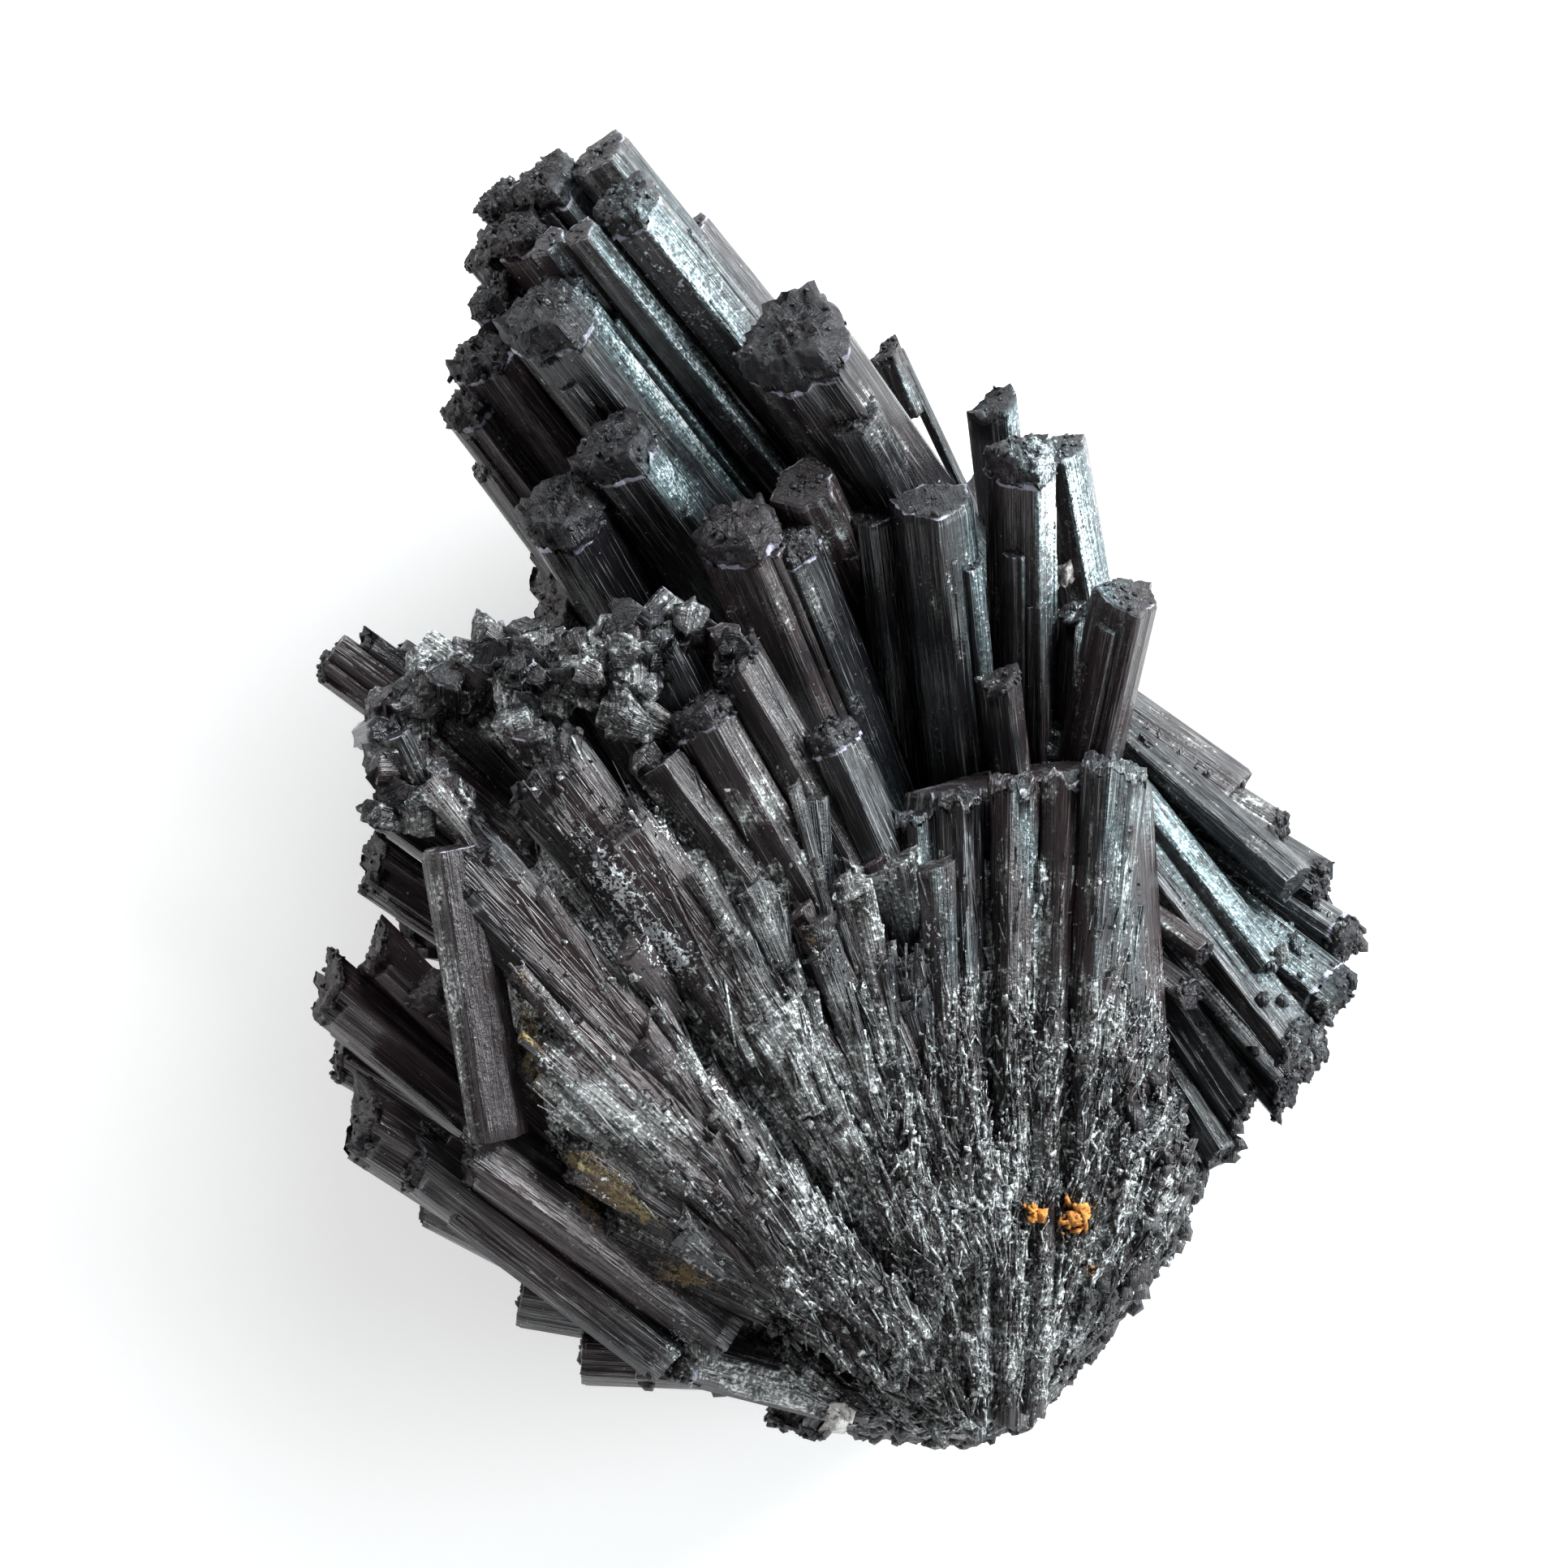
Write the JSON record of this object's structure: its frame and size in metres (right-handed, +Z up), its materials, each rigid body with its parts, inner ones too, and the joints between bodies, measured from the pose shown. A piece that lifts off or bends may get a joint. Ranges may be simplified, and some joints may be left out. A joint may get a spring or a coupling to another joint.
{
  "type": "schorl crystal cluster",
  "caption": "Cluster of black tourmaline prisms that fan out from one dense root, with capped ends and grooved sides; it lies on its flat broken back.",
  "frame": {"origin": "below the middle of the cluster's box, on the surface that it lies on", "axes": "+Y from the dense root to the crown of crystals, +Z up from the flat broken back to the front fan"},
  "size_m": [0.0592, 0.0734, 0.0333],
  "materials": {
    "schorl": "black with a brown-violet tint, glossy faces with fine lengthwise grooves, rough dull ends",
    "iron_grains": "dull, earthy, orange-brown",
    "pale_grains": "dull, greyish white"
  },
  "bodies": {
    "root": {"crystal_cluster": "schorl"}
  },
  "joints": []
}
